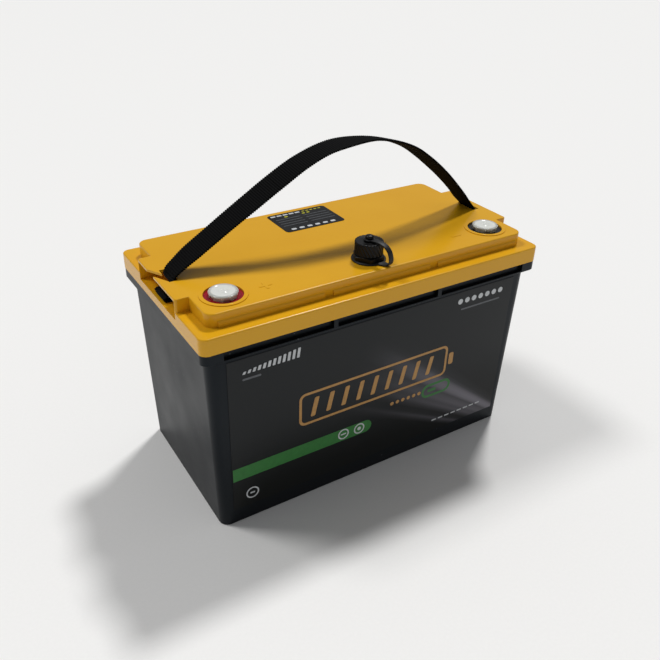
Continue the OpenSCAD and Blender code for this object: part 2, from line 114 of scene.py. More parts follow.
def vary(tree, shader, pattern, colors=None, roughness=None, relief=None):
    """Lets a pattern from 0 to 1 drive a surface.

    Colours run between two, roughness between two values over the pattern's middle, and relief
    is its depth in metres and its strength.
    """
    if colors:
        mix = add(tree, "Mix", {0: pattern, 6: colors[0], 7: colors[1]}, data_type="RGBA")
        tree.links.new(mix.outputs[2], shader.inputs["Base Color"])
    if roughness:
        spread = add(tree, "MapRange", {"Value": pattern, "From Min": 0.3, "From Max": 0.7,
                                        "To Min": roughness[0], "To Max": roughness[1]})
        tree.links.new(spread.outputs["Result"], shader.inputs["Roughness"])
    if relief:
        skin = add(tree, "Bump", {"Height": pattern, "Distance": relief[0], "Strength": relief[1]})
        tree.links.new(skin.outputs["Normal"], shader.inputs["Normal"])


# Matt paper: near white, with a soft grain and no reflection
paper, tree, shader, place = finish("matt_backdrop_paper", "F4F3F1", 0.9)
grain = add(tree, "TexNoise", {"Vector": place, "Scale": 400, "Detail": 3})
vary(tree, shader, grain.outputs["Fac"], colors=(linear("F2F1EF"), linear("F7F6F4")))

half = 6
mesh = bpy.data.meshes.new("floor")
mesh.from_pydata([(-half, -half, 0), (half, -half, 0), (half, half, 0), (-half, half, 0)], [], [(0, 1, 2, 3)])
floor = bpy.data.objects.new("floor", mesh)
floor.data.materials.append(paper)
scene.collection.objects.link(floor)

# Name, energy, spread in degrees, and direction of the light
for name, energy, spread, way in [("soft_box_left", 1.05, 14, (0.46, -0.45, -1)),
                                  ("soft_box_right", 1.7, 8, (-0.5, -0.36, -1))]:
    box = bpy.data.lights.new(name, "SUN")
    box.angle = math.radians(spread)
    box.energy = energy
    light = bpy.data.objects.new(name, box)
    light.rotation_euler = Vector(way).to_track_quat("-Z", "Y").to_euler()
    scene.collection.objects.link(light)

room = bpy.data.worlds.new("room")
room.use_nodes = True
room.node_tree.nodes["Background"].inputs["Color"].default_value = linear("F4F6F9")
room.node_tree.nodes["Background"].inputs["Strength"].default_value = 0.26
scene.world = room

# ---- Case ---------------------------------------------------------------------------------
# One deep box injection-moulded in black ABS, with a rim that carries the lid. The mould is
# spark-eroded, so the walls have a fine satin grain, and handling has left a little dust.

# Black ABS with a spark-eroded grain: satin, with a broad soft sheen on the faces seen at a
# low angle and small pale specks of dust.
black_abs, tree, shader, place = finish("moulded_black_abs", "07090C", 0.4, IOR=1.53,
                                        Specular_IOR_Level=0.23, Specular_Tint=linear("D4E3F2"))
# The real grain is about 0.3 mm; 0.9 mm is the finest that shows.
grain = add(tree, "TexNoise", {"Vector": place, "Scale": 1 / 0.0009, "Detail": 2})
cloud = add(tree, "TexNoise", {"Vector": place, "Scale": 1 / 0.05, "Detail": 4})
# Specks of dust are about 7 mm apart, and only in patches.
dust = add(tree, "TexVoronoi", {"Vector": place, "Scale": 1 / 0.007, "Randomness": 1.0})
speck = add(tree, "MapRange", {"Value": dust.outputs["Distance"], "From Min": 0.05, "From Max": 0.11,
                               "To Min": 0.7, "To Max": 0.0})
patch = add(tree, "MapRange", {"Value": cloud.outputs["Fac"], "From Min": 0.5, "From Max": 0.68})
dusty = add(tree, "Math", {0: speck.outputs["Result"], 1: patch.outputs["Result"]}, operation="MULTIPLY")
vary(tree, shader, dusty.outputs[0], colors=(linear("06080B"), linear("858A8E")))
vary(tree, shader, cloud.outputs["Fac"], roughness=(0.37, 0.47))
vary(tree, shader, grain.outputs["Fac"], relief=(0.00005, 0.5))


def dress(material, *names):
    """Gives CAD nodes a material, and smooth shading that keeps their sharp edges."""
    for name in names:
        mesh = nodes[name].data
        mesh.materials.clear()
        mesh.materials.append(material)
        with bpy.context.temp_override(object=nodes[name], active_object=nodes[name],
                                       selected_objects=[nodes[name]],
                                       selected_editable_objects=[nodes[name]]):
            bpy.ops.object.shade_smooth_by_angle(angle=math.radians(32))


dress(black_abs, "case")

# ---- Lid ----------------------------------------------------------------------------------
# One moulding in amber ABS, pressed over the case's rim: a low ledge, a raised platform, and
# at each end a bridge over a tunnel that holds the strap's tail.

# Amber ABS from a polished mould: an even warm yellow, semi-gloss, with faint flow clouds,
# so edges take a narrow pale highlight.
amber_abs, tree, shader, place = finish("moulded_amber_abs", "E0A618", 0.22, IOR=1.53,
                                        Specular_IOR_Level=0.28)
cloud = add(tree, "TexNoise", {"Vector": place, "Scale": 1 / 0.07, "Detail": 3})
vary(tree, shader, cloud.outputs["Fac"], colors=(linear("DDA114"), linear("E3AB1C")), roughness=(0.19, 0.25))
# Orange peel of the moulded skin, about 3 mm across
peel = add(tree, "TexNoise", {"Vector": place, "Scale": 1 / 0.003, "Detail": 1})
vary(tree, shader, peel.outputs["Fac"], relief=(0.00003, 0.35))

dress(amber_abs, "lid")

# ---- Front label --------------------------------------------------------------------------
# A self-adhesive printed film that covers most of the long side: charcoal with pale rays, a
# green band with a round end, and generic marks in gold, white and grey.

# Printed polyester film: a dark, nearly smooth surface, with pale rays that run together
# beyond its lower right corner, and a painted reflection that pales it towards the top.
film, tree, shader, place = finish("printed_charcoal_film", "15181A", 0.36, Specular_IOR_Level=0.2)
meet_x, meet_z = 0.240, -0.057
axes = add(tree, "SeparateXYZ", {"Vector": place})
from_x = add(tree, "Math", {0: meet_x, 1: axes.outputs["X"]}, operation="SUBTRACT")
from_z = add(tree, "Math", {0: axes.outputs["Z"], 1: meet_z}, operation="SUBTRACT")
angle = add(tree, "Math", {0: from_z.outputs[0], 1: from_x.outputs[0]}, operation="ARCTAN2")
# How bright the rays are at each angle, in degrees
stops = {20: 0, 25.4: 0, 26.2: 0.15, 27: 0.4, 27.8: 0.1, 29: 0.03, 30: 0.2, 31: 0.5, 32: 0.42, 33: 0.62,
         34: 0.52, 35: 0.36, 36: 0.9, 37: 1, 38: 0.82, 39: 0.26, 40: 0.08, 42.5: 0, 50: 0}
lowest, highest = min(stops), max(stops)
span = add(tree, "MapRange", {"Value": angle.outputs[0], "From Min": math.radians(lowest),
                              "From Max": math.radians(highest)})
rays = add(tree, "ValToRGB", {"Fac": span.outputs["Result"]})
while len(rays.color_ramp.elements) < len(stops):
    rays.color_ramp.elements.new(0.5)
for element, (degrees, value) in zip(rays.color_ramp.elements, stops.items()):
    element.position = (degrees - lowest) / (highest - lowest)
    element.color = (value, value, value, 1)
# The rays fade between 150 and 330 mm from the place where they meet.
arm = add(tree, "CombineXYZ", {"X": from_x.outputs[0], "Z": from_z.outputs[0]})
reach = add(tree, "VectorMath", {0: arm.outputs["Vector"]}, operation="LENGTH")
fade = add(tree, "MapRange", {"Value": reach.outputs["Value"], "From Min": 0.15, "From Max": 0.33,
                              "To Min": 1.0, "To Max": 0.0}, interpolation_type="SMOOTHSTEP")
glow = add(tree, "Math", {0: rays.outputs["Color"], 1: fade.outputs["Result"]}, operation="MULTIPLY")
# Painted reflection of the floor: the charcoal is a little paler towards the top and darker towards the
# bottom.
height = add(tree, "MapRange", {"Value": axes.outputs["Z"], "From Min": 0.03, "From Max": 0.09})
charcoal_with_painted_reflection = add(tree, "Mix", {0: height.outputs["Result"], 6: linear("0B0D0C"), 7: linear("1A1D1F")},
             data_type="RGBA")
vary(tree, shader, glow.outputs[0], colors=(charcoal_with_painted_reflection.outputs[2], linear("7D7A82")))
# Fine print grain, about 0.5 mm
tooth = add(tree, "TexNoise", {"Vector": place, "Scale": 1 / 0.0005, "Detail": 1})
vary(tree, shader, tooth.outputs["Fac"], relief=(0.00001, 0.2))

dress(film, "front_label")


def mottle(tree, shader, pattern, color, low, high):
    """Base colour that runs between two multiples of one colour over the pattern's middle."""
    spread = add(tree, "MapRange", {"Value": pattern, "From Min": 0.3, "From Max": 0.7})
    vary(tree, shader, spread.outputs["Result"],
         colors=[[c * level for c in linear(color)] for level in (low, high)])


def ink(name, color, roughness):
    """Printing ink: a thin even layer whose colour varies a little, as screen print does."""
    material, tree, shader, place = finish(name, color, roughness, Specular_IOR_Level=0.35)
    wash = add(tree, "TexNoise", {"Vector": place, "Scale": 1 / 0.004, "Detail": 3})
    mottle(tree, shader, wash.outputs["Fac"], color, 0.88, 1.08)
    return material


# Screen inks: flat and dull beside the film, the gold and green ones warm and clear
green_ink = ink("green_screen_ink", "317634", 0.4)
gold_ink = ink("gold_screen_ink", "B98A4C", 0.38)
white_ink = ink("white_screen_ink", "C9CCCE", 0.45)
grey_ink = ink("grey_screen_ink", "5C5F63", 0.45)

# The wall leans out by 2.5 mm over its height of 169.9 mm. The film is 0.3 mm thick and starts
# 15.5 mm up the wall, and ink lies 0.05 mm proud of it.
low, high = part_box("front_label")
lean = math.atan2(2.5, 169.9)
film_thick, film_start, ink_lift = 0.0003, 0.0155, 0.00005
out = Vector((0, -math.cos(lean), -math.sin(lean)))
rise = Vector((0, -math.sin(lean), math.cos(lean)))
foot = Vector((0, high.y - film_thick * math.cos(lean), low.z))
# Places on the label are x and the distance up the wall, in millimetres.
label_plane = (Matrix.Translation(foot - rise * film_start + out * ink_lift)
               @ Matrix((Vector((1, 0, 0)), rise, out)).transposed().to_4x4())


def printed(name, outlines, material, plane):
    """Thin closed shapes on a surface, from outlines in millimetres. An inner outline makes a hole."""
    curve = bpy.data.curves.new(name, "CURVE")
    curve.dimensions = "2D"
    curve.fill_mode = "BOTH"
    curve.extrude = 0.8 * ink_lift
    for outline in outlines:
        spline = curve.splines.new("POLY")
        spline.points.add(len(outline) - 1)
        for point, (x, y) in zip(spline.points, outline):
            point.co = (x / 1000, y / 1000, 0, 1)
        spline.use_cyclic_u = True
    carrier = bpy.data.objects.new(name + "_curve", curve)
    scene.collection.objects.link(carrier)
    bpy.context.view_layer.update()
    mesh = bpy.data.meshes.new_from_object(carrier.evaluated_get(bpy.context.evaluated_depsgraph_get()))
    bpy.data.objects.remove(carrier)
    mesh.transform(plane)
    mesh.materials.clear()
    mesh.materials.append(material)
    piece = bpy.data.objects.new(name, mesh)
    scene.collection.objects.link(piece)
    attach(piece, "battery")
    return piece


def bar(x0, x1, y0, y1, r, lean=0.0):
    """A rectangle with rounded corners; its top is shifted by lean."""
    corners = [(x1 - r, y1 - r, 0), (x0 + r, y1 - r, 90), (x0 + r, y0 + r, 180), (x1 - r, y0 + r, 270)]
    points = []
    for x, y, start in corners:
        for k in range(7):
            a = math.radians(start + 15 * k)
            px, py = x + r * math.cos(a), y + r * math.sin(a)
            points.append((px + lean * (py - y0) / (y1 - y0), py))
    return points


def disc(x, y, r):
    """A round dot."""
    return [(x + r * math.cos(math.tau * k / 40), y + r * math.sin(math.tau * k / 40)) for k in range(40)]


# The green band: square at the label's edge, round at its inner end
band = [(-143.9, 60), (-143.9, 46.8)]
for k in range(21):
    a = math.radians(-90 + 9 * k)
    band.append((-13.3 + 6.6 * math.cos(a), 53.4 + 6.6 * math.sin(a)))
printed("label_green_band", [band], green_ink, label_plane)

# A wide battery outline with slanted charge bars, in gold
gauge = [bar(-82, 75, 80, 113, 6), bar(-79.6, 72.6, 82.4, 110.6, 4), bar(77.2, 82.5, 90, 103, 2)]
gauge += [bar(-71 + 15.2 * k, -66.6 + 15.2 * k, 87, 106, 1.2, 4) for k in range(9)]
printed("label_gold_gauge", gauge, gold_ink, label_plane)
printed("label_gold_dots", [disc(15 + 6.2 * k, 68, 1.9) for k in range(6)], gold_ink, label_plane)

# A green loop with a bar inside
loop = [bar(49, 83, 59.5, 74.5, 7.4), bar(51.6, 80.4, 62.1, 71.9, 4.8), bar(56, 66, 65.4, 68.6, 1.5)]
printed("label_green_loop", loop, green_ink, label_plane)

# White marks: rings on the green band and in the corner, a rising scale, and a row of dots
marks = []
for x, y, r in [(-36.7, 54, 5.6), (-20, 53.6, 5.6), (-126.8, 28.2, 6)]:
    marks += [disc(x, y, r), disc(x, y, r - 1.25)]
marks += [bar(-39.6, -33.8, 53.3, 54.7, 0.6), disc(-20, 53.6, 1.9), bar(-129, -124.6, 27.4, 29, 0.7)]
marks += [bar(-132 + 4.3 * k, -129.6 + 4.3 * k, 151.2, 153.6 + 0.6 * k, 0.5, 1.2) for k in range(12)]
marks += [disc(82 + 7.9 * k, 156, 2.7) for k in range(7)]
marks += [bar(66 + 7.9 * k, 71.6 + 7.9 * k, 27.4, 28.9, 0.6) for k in range(8)]
# Two rings stand on the band, so the white ink lies above the green.
printed("label_white_marks", marks, white_ink, label_plane @ Matrix.Translation((0, 0, 2 * ink_lift)))
printed("label_grey_lines", [bar(-132, -116, 145.4, 147.2, 0.8), bar(84, 130, 146.6, 148.2, 0.7)],
        grey_ink, label_plane)

# ---- Top label ----------------------------------------------------------------------------
# A small black film with rounded corners, stuck on the platform behind the strap, with rows
# of small marks.

# Black polyester film, glossier than the large label, with soft streaks of handling
black_film, tree, shader, place = finish("printed_black_film", "0B0B0D", 0.3, Specular_IOR_Level=0.25)
streak = add(tree, "TexNoise", {"Vector": place, "Scale": 1 / 0.012, "Detail": 3})
vary(tree, shader, streak.outputs["Fac"], colors=(linear("09090B"), linear("131316")), roughness=(0.26, 0.4))
dress(black_film, "top_label")

low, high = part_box("top_label")
top_plane = Matrix.Translation(Vector((0, 0, high.z + ink_lift)))
mid_x = (low.x + high.x) / 2 * 1000
mid_y = (low.y + high.y) / 2 * 1000


def short(x, y, wide, tall, r):
    """A short bar on the small label, from its lower left corner and the label's middle."""
    return bar(mid_x + x, mid_x + x + wide, mid_y + y, mid_y + y + tall, r)


white_marks = [short(-28 + 6.4 * k, 15.5, 5, 2.5, 0.7) for k in range(5)]
white_marks += [short(-24 + 8.2 * k, -17.8, 5, 3.2, 1.3) for k in range(6)]
printed("top_label_white_marks", white_marks, white_ink, top_plane)
grey_lines = [short(-27 + 29 * column, 7.6 - 5 * k, 25, 0.8, 0.3) for k in range(4) for column in (0, 1)]
printed("top_label_grey_lines", grey_lines, grey_ink, top_plane)
yellow_marks = [short(-16, 11, 3.4, 2, 0.5), short(3, 11.4, 3, 2, 0.5), short(8, 11.6, 3, 2, 0.5)]
yellow_marks += [short(5 + 4.4 * k, 16, 2.8, 1.6, 0.4) for k in range(5)]
printed("top_label_yellow_marks", yellow_marks, ink("yellow_screen_ink", "B7B325", 0.4), top_plane)

# ---- Terminals ----------------------------------------------------------------------------
# A threaded brass post, tin-plated, stands in each well. A coloured ring around it marks the
# polarity, and a soft clear cap is snapped over it.


def moulded(name, color, roughness, strength, **more):
    """A moulded plastic or rubber: an even colour with faint clouds, and a skin that isn't quite flat."""
    material, tree, shader, place = finish(name, color, roughness, **more)
    cloud = add(tree, "TexNoise", {"Vector": place, "Scale": 1 / 0.006, "Detail": 4})
    mottle(tree, shader, cloud.outputs["Fac"], color, 1 - strength, 1 + strength)
    vary(tree, shader, cloud.outputs["Fac"], roughness=(roughness - 0.05, roughness + 0.07),
         relief=(0.00003, 0.4))
    return material


# Deep red and black nylon: glossy, so the well around the cap shows soft reflections.
red_nylon = moulded("glossy_red_nylon", "990A20", 0.25, 0.1, IOR=1.53, Specular_IOR_Level=0.4)
black_nylon = moulded("glossy_black_nylon", "09090A", 0.28, 0.15, IOR=1.53, Specular_IOR_Level=0.4)
dress(red_nylon, "positive_ring")
dress(black_nylon, "negative_ring")

# Tin-plated brass, turned: pale grey, with fine marks from the tool 0.4 mm apart.
tin, tree, shader, place = finish("turned_tin_plated_brass", "C9CBCA", 0.32, Metallic=1.0)
cloud = add(tree, "TexNoise", {"Vector": place, "Scale": 1 / 0.003, "Detail": 3})
vary(tree, shader, cloud.outputs["Fac"], colors=(linear("BFC2C2"), linear("D3D4D2")))
turning = add(tree, "TexNoise", {"Vector": place, "Scale": 1 / 0.0004, "Detail": 1})
vary(tree, shader, turning.outputs["Fac"], relief=(0.00002, 0.3))
dress(tin, "positive_insert", "negative_insert")

# Black nitrile rubber: dull, with no clear reflection.
nitrile = moulded("matt_nitrile_rubber", "151515", 0.7, 0.12, IOR=1.52)
dress(nitrile, "positive_seal", "negative_seal", "lid_seal", "port_gasket", "cap_seal")

# Low-density polyethylene, natural: milky in its thick middle and clearer in its skirt and
# rim, with bright edges and a soft gloss.
clear_pe, tree, shader, place = finish("natural_polyethylene", "F4F6F5", 0.18, IOR=1.51)
low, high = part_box("positive_cover")
post = (abs(low.x + high.x) / 2, (low.y + high.y) / 2, 0)
axes = add(tree, "SeparateXYZ", {"Vector": place})
aside = add(tree, "Math", {0: axes.outputs["X"]}, operation="ABSOLUTE")
arm = add(tree, "CombineXYZ", {"X": aside.outputs[0], "Y": axes.outputs["Y"], "Z": 0.0})
from_post = add(tree, "VectorMath", {0: arm.outputs["Vector"], 1: post}, operation="DISTANCE")
clear = add(tree, "MapRange", {"Value": from_post.outputs["Value"], "From Min": 0.0088, "From Max": 0.0104,
                               "To Min": 0.12, "To Max": 0.55})
tree.links.new(clear.outputs["Result"], shader.inputs["Transmission Weight"])
flow = add(tree, "TexNoise", {"Vector": place, "Scale": 1 / 0.004, "Detail": 2})
vary(tree, shader, flow.outputs["Fac"], colors=(linear("E6E8E1"), linear("F2F3ED")), relief=(0.00008, 0.5))


def piece_of(name, points, faces, material, body, stands_for=(), smooth=32):
    """A mesh piece in metres, shaded smooth up to an angle, that rides on a body."""
    mesh = bpy.data.meshes.new(name)
    mesh.from_pydata(points, [], faces)
    work = bmesh.new()
    work.from_mesh(mesh)
    bmesh.ops.remove_doubles(work, verts=work.verts, dist=1e-7)
    bmesh.ops.recalc_face_normals(work, faces=work.faces)
    work.to_mesh(mesh)
    work.free()
    mesh.materials.append(material)
    piece = bpy.data.objects.new(name, mesh)
    scene.collection.objects.link(piece)
    with bpy.context.temp_override(object=piece, active_object=piece, selected_objects=[piece],
                                   selected_editable_objects=[piece]):
        bpy.ops.object.shade_smooth_by_angle(angle=math.radians(smooth))
    if body:
        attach(piece, body)
    if stands_for:
        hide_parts(*stands_for)
    return piece


def lathe(rings, sides):
    """Points and faces of a closed round shape, in millimetres.

    A ring is its radius and height, or a function of the angle that gives them.
    """
    points, faces = [], []
    for ring in rings:
        for k in range(sides):
            a = math.tau * k / sides
            r, z = ring(a) if callable(ring) else ring
            points.append((r * math.cos(a), r * math.sin(a), z))
    count = len(rings)
    for i in range(count):
        j = (i + 1) % count
        for k in range(sides):
            m = (k + 1) % sides
            faces.append((i * sides + k, i * sides + m, j * sides + m, j * sides + k))
    return points, faces


def moved(points, x, y):
    """Points in millimetres put at x and y, in metres."""
    return [((p[0] + x) / 1000, (p[1] + y) / 1000, p[2] / 1000) for p in points]


def flats(a, r, count, depth):
    """Radius at angle a of a round wall with flats, depth millimetres deep in their middle."""
    step = math.tau / count
    off = abs((a % step) - step / 2) / (step / 2)
    return r - depth * (1 - off * off)


def tab(a, count, share, turn):
    """0 on a tab of the cap's skirt and 1 in a gap. Tabs take their share of the round."""
    step = math.tau / count
    t = ((a + turn) % step) / step
    edge = 0.06
    if t < share - edge:
        return 0.0
    if t < share:
        return (t - share + edge) / edge
    if t > 1 - edge:
        return (1 - t) / edge
    return 1.0


# The skirt has ten flats and five tabs. Each cover was pressed on at an angle of its own.
for name, body, turn in [("positive_cover", "positive_cap", 0.2), ("negative_cover", "negative_cap", 0.55)]:
    low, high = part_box(name)
    x, y = (low.x + high.x) * 500, (low.y + high.y) * 500
    bottom, top = low.z * 1000 + 0.05, high.z * 1000

    def skirt(r, z, rise, depth=0.5, turn=turn):
        return lambda a: (flats(a + turn, r, 10, depth), z + rise * tab(a, 5, 0.62, turn))

    rings = [
        (0.01, top - 0.55), (1.0, top - 0.5), (1.25, top - 0.25), (1.6, top - 0.1), (3.1, top - 0.12),
        (3.4, top - 0.3), (3.7, top - 0.45), (8.6, top - 0.5), (9.2, top - 0.3), (9.5, top - 0.08),
        (9.8, top), (10.5, top), (10.9, top - 0.08), (11.25, top - 0.3), (11.5, top - 0.7),
        skirt(11.55, top - 1.2, 0, 0.25), skirt(11.35, bottom + 2.4, 0), skirt(11.05, bottom, 1.6),
        skirt(10.5, bottom, 1.6, 0.1), skirt(10.75, top - 1.6, 0, 0.1),
        (10.3, top - 1.25), (0.01, top - 1.25),
    ]
    points, faces = lathe(rings, 120)
    piece_of(name + "_clear", moved(points, x, y), faces, clear_pe, body, [name])

# ---- Data port ----------------------------------------------------------------------------
# A five-pin connector barrel through the lid, held by a hexagon nut, with a screw-on dust
# cap. A rubber tether runs from a ring under the nut to a ring under the cap's button.

# Glass-filled nylon: black, with a low sheen that shows on the edges of the nut and grooves.
filled_nylon = moulded("glass_filled_nylon", "070708", 0.38, 0.2, IOR=1.53, Specular_IOR_Level=0.2)
dress(black_nylon, "port_body")

low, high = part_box("port_nut")
port_x, port_y = 0.0, (low.y + high.y) * 500
nut_low, nut_high = low.z * 1000, high.z * 1000


def hexagon(a, flat):
    """Radius at angle a of a hexagon with the given distance from its middle to a flat."""
    step = math.tau / 6
    turn = math.radians(2)
    return flat / math.cos(((a - turn) % step) - step / 2)


def chamfered(a):
    """Radius and height of the nut's upper edge at angle a, where the corners are turned down."""
    r = hexagon(a, 12.1)
    return r, nut_high - max(0.0, r - 12.3) * 0.62


rings = [
    (9.05, nut_low),
    lambda a: (hexagon(a, 11.9), nut_low),
    lambda a: (hexagon(a, 12.1), nut_low + 0.25),
    lambda a: (chamfered(a)[0], chamfered(a)[1] - 0.12),
    lambda a: (chamfered(a)[0] - 0.15, chamfered(a)[1] + 0.02),
    (11.7, nut_high), (9.6, nut_high), (9.05, nut_high - 0.4),
]
points, faces = lathe(rings, 144)
piece_of("port_hexagon_nut", moved(points, port_x, port_y), faces, filled_nylon, "battery",
         ["port_nut"], 25)

# Filled connector resin: dark grey and satin.
dress(moulded("grey_connector_resin", "3A3C3E", 0.45, 0.1), "port_insulator")
# Gold-plated brass: warm and bright.
dress(moulded("gold_plated_brass", "D9A94E", 0.25, 0.06, Metallic=1.0), "port_contacts")

# The dust cap: slanted grip grooves that run out at the crown, and a mushroom button
low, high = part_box("dust_cap")
cap_low, button_top = low.z * 1000, high.z * 1000
crown = button_top - 4.9


def groove(a, z, depth):
    """Radius at angle a and height z of the cap's wall, cut by 24 slanted grooves."""
    slant = math.radians(30) * (crown - z) / (crown - cap_low)
    wave = math.cos((a - slant) * 24)
    return 12.0 - depth * max(0.0, (wave + 0.35) / 1.35) ** 0.7


wall = [(cap_low + (crown - 0.6 - cap_low) * k / 14) for k in range(15)]
rings = [(9.15, cap_low), (11.3, cap_low), lambda a: (groove(a, cap_low + 0.3, 0.2), cap_low + 0.3)]
rings += [lambda a, z=z: (groove(a, z, 0.62), z) for z in wall[1:]]
rings += [
    lambda a: (groove(a, crown - 0.25, 0.62) - 0.15, crown - 0.2),
    lambda a: (groove(a, crown, 0.5) - 0.5, crown),
    (10.4, crown + 0.05), (9.9, crown - 0.12), (5.2, crown - 0.15), (4.6, crown - 0.15), (2.5, crown - 0.15),
    (2.2, crown + 0.1), (2.2, crown + 2.2), (3.2, crown + 2.35), (3.7, crown + 2.75), (3.75, crown + 3.3),
    (3.45, crown + 4.0), (2.8, crown + 4.5), (1.7, crown + 4.82), (0.01, crown + 4.88),
]
# The cap is hollow up to its seal.
inner = cap_low + 8.55
rings += [(0.01, inner), (9.15, inner)]
points, faces = lathe(rings, 288)
piece_of("dust_cap_grip", moved(points, port_x, port_y), faces, filled_nylon, "port_cap",
         ["dust_cap"], 40)

# Black thermoplastic rubber: softer sheen than the nylon, a little greyer where it curves.
tether_rubber = moulded("soft_black_elastomer", "0E0F11", 0.48, 0.12, IOR=1.5, Specular_IOR_Level=0.35)


def spline(path, steps):
    """A smooth curve through points, with so many steps between two of them."""
    path = [Vector(p) for p in path]
    curve = []
    for i in range(len(path) - 1):
        a, b, c, d = path[max(i - 1, 0)], path[i], path[i + 1], path[min(i + 2, len(path) - 1)]
        for k in range(steps):
            t = k / steps
            curve.append(0.5 * (2 * b + (c - a) * t + (2 * a - 5 * b + 4 * c - d) * t * t
                                + (3 * b - a - 3 * c + d) * t ** 3))
    return curve + [path[-1]]


def shell(rings, around):
    """Faces of a closed band with so many rings of so many points."""
    faces = []
    for i in range(rings - 1):
        for k in range(around):
            m = (k + 1) % around
            faces.append((i * around + k, i * around + m, (i + 1) * around + m, (i + 1) * around + k))
    last = (rings - 1) * around
    return faces + [tuple(range(around - 1, -1, -1)), tuple(last + k for k in range(around))]


def swept(path, side_at, section_at):
    """Points in metres of a band along a path in millimetres, ring by ring.

    side_at(i, along) gives the sideways direction at ring i, and section_at(i) its outline.
    """
    points = []
    for i, p in enumerate(path):
        along = (path[min(i + 1, len(path) - 1)] - path[max(i - 1, 0)]).normalized()
        side = side_at(i, along)
        face = along.cross(side)
        points += [tuple((p + side * u + face * v) / 1000) for u, v in section_at(i)]
    return points


# The tether leaves the cap towards the front, a little to the right. Its route is the distance
# from the cap's axis and the height.
away = Vector((math.cos(math.radians(-75)), math.sin(math.radians(-75)), 0))
across = Vector((-away.y, away.x, 0))
route = [(3.6, 222.7), (7, 223.1), (11, 223.2), (15, 222.6), (18.6, 221.1), (21.6, 218.2), (23.2, 214.6),
         (23.7, 211.2), (22.8, 208.2), (20.4, 206.3), (17, 205.75), (13.8, 205.75)]
path = [Vector((port_x, port_y, 0)) + away * p[0] + Vector((0, 0, p[1])) for p in spline(route, 6)]


def soft_band(half, thick):
    """Outline of a flat band with rounded edges."""
    r = thick / 2
    points = []
    for side in (1, -1):
        for k in range(7):
            a = math.radians(-90 + 30 * k) if side == 1 else math.radians(90 + 30 * k)
            points.append((side * (half - r) + r * math.cos(a), r * math.sin(a)))
    return points


def tether_section(i):
    """The tether is 5.4 mm wide, and spreads to the lid's ring over its last 13 steps."""
    end = min(1.0, max(0.0, (i - len(path) + 14) / 13))
    return soft_band(2.7 + 2.3 * end * end, 1.35)


points = swept(path, lambda i, along: across, tether_section)
faces = shell(len(path), len(tether_section(0)))
tether = piece_of("tether_strap", points, faces, tether_rubber, None, ["cap_tether"], 60)
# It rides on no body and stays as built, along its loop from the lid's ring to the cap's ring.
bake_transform(tether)

# The tether's rings, one on the lid under the nut and one loose around the button's neck
low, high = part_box("tether_base_ring")
bottom, top = low.z * 1000, high.z * 1000
rings = [(9.05, bottom), (14.3, bottom), (14.6, bottom + 0.35), (14.5, top - 0.4), (14.1, top), (9.05, top)]
points, faces = lathe(rings, 96)
piece_of("tether_lid_ring", moved(points, port_x, port_y), faces, tether_rubber, "battery",
         ["tether_base_ring"], 60)
low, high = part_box("tether_cap_ring")
bottom, top = low.z * 1000, high.z * 1000
rings = [(2.45, bottom + 0.2), (2.7, bottom), (4.4, bottom), (4.75, bottom + 0.4), (4.75, top - 0.4),
         (4.4, top), (2.7, top), (2.45, top - 0.2)]
points, faces = lathe(rings, 48)
piece_of("tether_button_ring", moved(points, port_x, port_y), faces, tether_rubber, "tether_end",
         ["tether_cap_ring"], 60)

# ---- Carry strap --------------------------------------------------------------------------
# Flat woven polypropylene webbing, 22 mm wide, that stands up in an arch by its own
# stiffness. Each end goes down through a slot and is folded flat inside the tunnel.

# Polypropylene webbing: dull black, with a faint sheen on the yarns, which lie lengthwise
# 1.4 mm apart. Its surface swells between cross threads 2 mm apart, which shows as ribs.
webbing, tree, shader, place = finish("woven_black_polypropylene", "0B0B0C", 0.75, IOR=1.49,
                                      Specular_IOR_Level=0.08)
fibre = add(tree, "Mapping", {"Vector": place, "Scale": (1 / 0.006, 1 / 0.0005, 1 / 0.006)})
fluff = add(tree, "TexNoise", {"Vector": fibre.outputs["Vector"], "Scale": 1.0, "Detail": 3})
vary(tree, shader, fluff.outputs["Fac"], colors=(linear("010102"), linear("070707")))
# A wave texture at scale 1 repeats every pi / 10.
yarn = add(tree, "TexWave", {"Vector": place, "Scale": math.pi / 10 / 0.00138, "Distortion": 0.4},
           bands_direction="Y", wave_profile="SIN")
vary(tree, shader, yarn.outputs["Fac"], relief=(0.0003, 0.5))

# Middle line of the webbing from one folded end to the other, as x and z
centre = [(-151, 188.1), (-157, 188.0), (-161, 188.3), (-162.2, 189.8), (-160.6, 191.2), (-154, 191.3),
          (-150, 192.8), (-150.6, 197), (-153, 200.5), (-153.6, 203.5), (-151, 208), (-144, 213.2),
          (-137, 218), (-119, 229), (-101, 240), (-80, 252.3), (-60, 264), (-34, 277.6), (-7, 286.2),
          (26, 288), (50, 284), (73, 275.4), (92, 263), (111, 247.6), (124, 235.6), (136, 223.4),
          (144, 214.2), (151, 207), (153.8, 203.5), (153, 200.5), (150.6, 197), (150, 192.8),
          (154, 191.3), (160.6, 191.2), (162.2, 189.8), (161, 188.3), (157, 188.0), (151, 188.1)]
line = spline([(x, 0, z) for x, z in centre], 40)
# The same curve at even steps of half a millimetre, four to a cross thread
rib = 2.0
step = rib / 4
even, ahead = [line[0]], step
for a, b in zip(line, line[1:]):
    length = (b - a).length
    while length >= ahead:
        a = a.lerp(b, ahead / length)
        even.append(a)
        length = (b - a).length
        ahead = step
    ahead -= length
line = even


